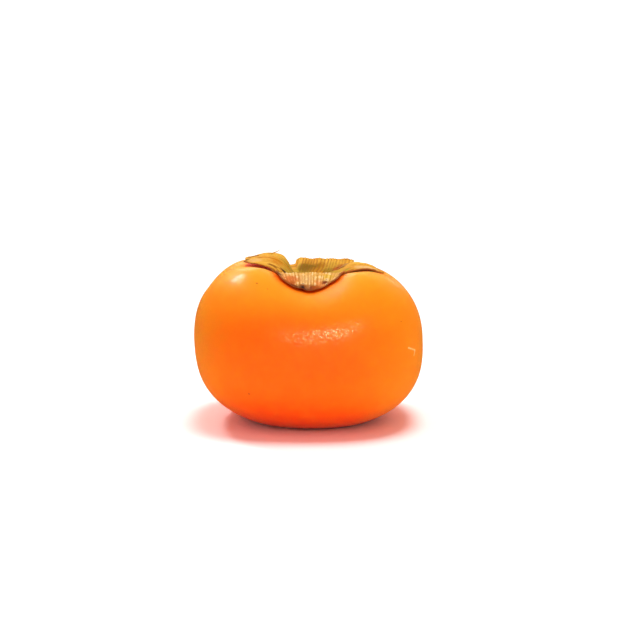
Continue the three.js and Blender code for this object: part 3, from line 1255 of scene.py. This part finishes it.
@dataclass(frozen=True)
class DryWood:
    """Dry woody stalk: dark ridged bark and a paler fibrous cut face, with no gloss."""

    bark: str = "#5b4027"
    weathered: str = "#8a6a45"
    cut: str = "#b08a5c"
    pith: str = "#6e4e30"
    roughness: float = 0.85
    specular: float = 0.2
    fibre: float = 0.5
    fibre_depth: float = 0.12
    drawn_out: Triple = (1, 1, 0.25)
    weathering: Span = (0.4, 0.65)
    rim: float = 0.4

    def material(self, top: float) -> Material:
        """Builds the material.

        Args:
            top: height of the cut face, in metres.

        Returns:
            The material.
        """
        made = bpy.data.materials.new("dry woody stalk")
        add = empty_tree(made)
        place = add("TexCoord", (), "Object")
        drawn = add("VectorMath", (place, self.drawn_out), operation="MULTIPLY")
        fibre = add("TexNoise", {"Vector": drawn, "Scale": per_mm(self.fibre), "Detail": 4})
        tone = add("MapRange", (fibre, *self.weathering))
        z = add("SeparateXYZ", (place,), 2)
        cut = add("MapRange", (z, top - self.rim * MM, top))
        face = add("Mix", {0: tone, 6: self.pith, 7: self.cut}, 2, data_type="RGBA")
        bump = {"Height": fibre, "Strength": 1, "Distance": self.fibre_depth * MM}
        shader = {
            "Roughness": self.roughness,
            "Specular IOR Level": self.specular,
            "Normal": add("Bump", bump),
        }
        surface(add, self.bark, [(tone, self.weathered), (cut, face)], shader)
        return made


@dataclass
class Stalk:
    """The short woody end left by the cut, seated on the middle of the calyx."""

    calyx: Calyx
    finish: DryWood = field(default_factory=DryWood)
    columns: int = 96
    rings: int = 40
    seat_gap: float = 0.3
    profile: tuple[Pair, ...] = (
        (0.5, 0),
        (2.4, 0.3),
        (2.9, 0.9),
        (2.6, 1.8),
        (2.35, 2.8),
        (2.3, 3.5),
        (1.9, 3.8),
        (0.5, 3.9),
    )
    oval: float = 1.12
    slant: float = 0.16
    ridges: int = 5
    ridge: float = 0.06
    bark_relief: float = 0.12
    bark_size: float = 0.8
    bark_draw: Triple = (1, 1, 0.3)

    def build(self) -> Object:
        """Models the stalk ring by ring and roughens its bark.

        Returns:
            The finished piece.
        """
        profile = np.array(self.profile)
        lengths = travelled(profile)
        along = np.linspace(0, lengths[-1], self.rings)
        radius, height = (np.interp(along, lengths, values) for values in profile.T)
        circle = bpy.ops.mesh.primitive_circle_add
        piece = begin(circle, vertices=self.columns, radius=radius[0], fill_type="NGON")
        bpy.ops.object.mode_set(mode="EDIT")
        bpy.ops.mesh.select_all(action="SELECT")
        for i in range(1, self.rings):
            rise = (0, 0, height[i] - height[i - 1])
            bpy.ops.mesh.extrude_region_move(TRANSFORM_OT_translate={"value": rise})
            grow = radius[i] / radius[i - 1]
            bpy.ops.transform.resize(value=(grow, grow, 1), center_override=(0, 0, height[i]))
        bpy.ops.mesh.select_all(action="SELECT")
        bpy.ops.mesh.normals_make_consistent(inside=False)
        bpy.ops.object.mode_set(mode="OBJECT")
        points = positions(piece)
        self.shape(points)
        move_to(piece, points + self.calyx.fruit.shift)
        bark = self.finish.material(points[:, 2].max() * MM)
        return settle("woody_stalk", "woody_stalk", bark, "stalk")

    def shape(self, points: Array) -> None:
        """Makes the round post oval, ridged, slanted and rough, in place.

        Args:
            points: places on the post.
        """
        azimuth = np.arctan2(points[:, 1], points[:, 0])
        ridge = 1 + self.ridge * np.cos(self.ridges * azimuth)
        slant = self.slant * points[:, 0] * (points[:, 2] / self.profile[-1][1]) ** 2
        rough = 1 + self.bark_relief * grain(points * self.bark_draw, self.bark_size, 2)
        points[:, 0] *= ridge * rough * self.oval
        points[:, 1] *= ridge * rough
        points[:, 2] += self.calyx.bowl_floor + self.calyx.blade / 2 + self.seat_gap + slant


class Role(Enum):
    """What a lamp does: a sheen only shows in the wax, a softbox only lights, a panel does both."""

    SHEEN = "sheen"
    SOFTBOX = "softbox"
    PANEL = "panel"


@dataclass(frozen=True)
class Lamp:
    """An area lamp turned to the fruit.

    Its place is its azimuth from the camera, elevation and distance, and its size width and height.
    """

    where: str
    role: Role
    place: Triple
    size: Pair
    power: float
    colour: str = "#ffffff"
    roll: float = 0
    lights_table: bool = True


@dataclass
class Studio:
    """A white table, soft lights and a camera in front of the fruit, just above it.

    The sky has a strength as a light, another in the wax and a third as it is seen.
    """

    table_size: float = 0.5
    table: str = "#fbfbfb"
    table_roughness: float = 0.9
    table_specular: float = 0.1
    sky: float = 0.31
    mirrored_sky: float = 0.13
    seen_sky: float = 1.2
    overhead: float = 2.5
    overhead_spread: float = 24
    overhead_lean: Pair = (-5, 6)
    glow_colour: str = "#ff5540"
    glow_radius: float = 48
    glow_power: float = 0.006
    glow_middle: Triple = (-6, -2, 5)
    lamps: tuple[Lamp, ...] = (
        Lamp("front", Role.SOFTBOX, (13, 14, 1.1), (0.62, 0.08), 5.1, lights_table=False),
        Lamp("front", Role.SHEEN, (12, 19, 1.1), (0.9, 0.28), 31, "#ffcf98", roll=30),
        Lamp("front core", Role.SHEEN, (12, 21, 1.1), (0.24, 0.2), 5, "#ffd8b0"),
        Lamp("back left", Role.SOFTBOX, (-137, 48, 0.9), (0.16, 0.14), 3),
        Lamp("back left", Role.SHEEN, (-135, 53, 0.9), (0.24, 0.3), 13, "#ffdce6"),
        Lamp("back", Role.SHEEN, (-172, 30, 1.2), (0.3, 0.34), 2.2, "#ffe4d4"),
        Lamp("back right", Role.SHEEN, (160, 14, 1.2), (0.2, 0.16), 0.5, "#ffe6d0"),
        Lamp("left", Role.SOFTBOX, (-80, 12, 0.9), (0.3, 0.3), 0.5),
        Lamp("right", Role.SOFTBOX, (85, 12, 0.9), (0.3, 0.3), 0.45),
        Lamp("back", Role.PANEL, (180, 30, 1.2), (1.8, 0.5), 1.7),
    )
    aim: Vector = field(default_factory=lambda: Vector((0, 0, 29)))
    distance: float = 440
    elevation: float = 9
    focal: float = 1228.0757
    frame: float = 625
    aim_pixel: Pair = (308.5727, 336.9104)
    sensor: float = 36
    nearest: float = 10

    def build(self) -> None:
        """Sets the table, the lights, the surroundings and the camera."""
        self.lay_table()
        self.hang_overhead()
        self.light_flesh()
        for lamp in self.lamps:
            self.hang(lamp)
        self.fill_sky()
        self.place_camera()

    def lay_table(self) -> None:
        """A painted table top, matt and almost white, that takes a soft shadow and mirrors nothing.

        It isn't seen in the wax either, which would pale the foot of the fruit.
        """
        table = begin(bpy.ops.mesh.primitive_plane_add, size=self.table_size)
        table.name = "table"
        made = bpy.data.materials.new("matt white table")
        add = empty_tree(made)
        shader = {"Roughness": self.table_roughness, "Specular IOR Level": self.table_specular}
        surface(add, self.table, [], shader)
        table.data.materials.append(made)
        table.visible_glossy = False

    def light(self, name: str, kind: str, **settings: Any) -> Object:
        """Adds a light to the scene.

        Args:
            name: its plain name.
            kind: the light's type.
            settings: the light's own properties.

        Returns:
            The light's object.
        """
        light = bpy.data.lights.new(name, kind)
        for setting, value in settings.items():
            setattr(light, setting, value)
        holder = bpy.data.objects.new(name, light)
        bpy.context.scene.collection.objects.link(holder)
        return holder

    def hang_overhead(self) -> None:
        """The broad light from above, which doesn't show in the wax."""
        spread = math.radians(self.overhead_spread)
        holder = self.light("overhead", "SUN", energy=self.overhead, angle=spread)
        holder.rotation_euler = (*(math.radians(lean) for lean in self.overhead_lean), 0)
        holder.visible_glossy = False

    def light_flesh(self) -> None:
        """The red light that comes down through the flesh and onto the table round the fruit."""
        settings = {"shape": "DISK", "size": 2 * self.glow_radius * MM, "energy": self.glow_power}
        holder = self.light("glow", "AREA", **settings, color=linear(self.glow_colour)[:3])
        holder.location = Vector(self.glow_middle) * MM

    def hang(self, lamp: Lamp) -> None:
        """Hangs a lamp and turns it to the fruit.

        Args:
            lamp: the lamp.
        """
        width, height = lamp.size
        settings = {"shape": "RECTANGLE", "size": width, "size_y": height, "energy": lamp.power}
        name = f"{lamp.where} {lamp.role.value}"
        holder = self.light(name, "AREA", **settings, color=linear(lamp.colour)[:3])
        holder.visible_diffuse = lamp.role is not Role.SHEEN
        holder.visible_glossy = lamp.role is not Role.SOFTBOX
        if not lamp.lights_table:
            holder.light_linking.receiver_collection = self.pieces()
        azimuth, elevation, distance = lamp.place
        turn, lift = math.radians(azimuth), math.radians(elevation)
        level = math.cos(lift)
        away = Vector((math.sin(turn) * level, -math.cos(turn) * level, math.sin(lift)))
        holder.location = self.aim * MM + away * distance
        aimed = away.to_track_quat("Z", "Y") @ Quaternion(UP, math.radians(lamp.roll))
        holder.rotation_euler = aimed.to_euler()

    def pieces(self) -> bpy.types.Collection:
        """Collects the fruit's pieces.

        Returns:
            A collection of every mesh but the table.
        """
        pieces = bpy.data.collections.new("pieces")
        for piece in bpy.context.scene.objects:
            if piece.type == "MESH" and piece.name != "table":
                pieces.objects.link(piece)
        return pieces

    def fill_sky(self) -> None:
        """The white surroundings."""
        world = bpy.data.worlds.new("white studio")
        bpy.context.scene.world = world
        add = empty_tree(world)
        seen = add("LightPath", (), "Is Camera Ray")
        mirrored = seen.node.outputs["Is Glossy Ray"]
        strength = add("MapRange", (mirrored, 0, 1, self.sky, self.mirrored_sky))
        strength = add("MapRange", (seen, 0, 1, strength, self.seen_sky))
        add("OutputWorld", (add("Background", ("#ffffff", strength)),))
        bpy.context.scene.view_settings.view_transform = "Standard"

    def place_camera(self) -> None:
        """A camera just above the fruit's height, turned a little so that the fruit sits off centre."""
        lift = math.radians(self.elevation)
        aim = self.aim * MM
        eye = aim + Vector((0, -math.cos(lift), math.sin(lift))) * self.distance * MM
        ahead = (aim - eye).normalized()
        right = Vector((1, 0, 0))
        up = right.cross(ahead)
        across, down = ((pixel - self.frame / 2) / self.focal for pixel in self.aim_pixel)
        ahead = (ahead - right * across + up * down).normalized()
        right = ahead.cross(UP).normalized()
        up = right.cross(ahead)
        lens = bpy.data.cameras.new("camera")
        lens.sensor_width = self.sensor
        lens.lens = self.focal / self.frame * self.sensor
        lens.clip_start = self.nearest * MM
        holder = bpy.data.objects.new("camera", lens)
        bpy.context.scene.collection.objects.link(holder)
        turn = Matrix((right, up, -ahead)).transposed().to_4x4()
        holder.matrix_world = Matrix.Translation(eye) @ turn
        bpy.context.scene.camera = holder


def main() -> None:
    """Builds the fruit, its calyx and stalk, and the studio, and notes each piece's number of faces."""
    logging.basicConfig(level=logging.INFO, format="%(name)s %(message)s")
    fruit = Fruit()
    pieces = [fruit.build()]
    calyx = Calyx(fruit)
    pieces.append(calyx.build())
    pieces.append(Curl(calyx).build(pieces[-1].data.materials[0]))
    pieces.append(Stalk(calyx).build())
    for piece in pieces:
        LOG.info("%s: %d faces", piece.name, len(piece.data.polygons))
    Studio().build()


if __name__ == "__main__":
    main()
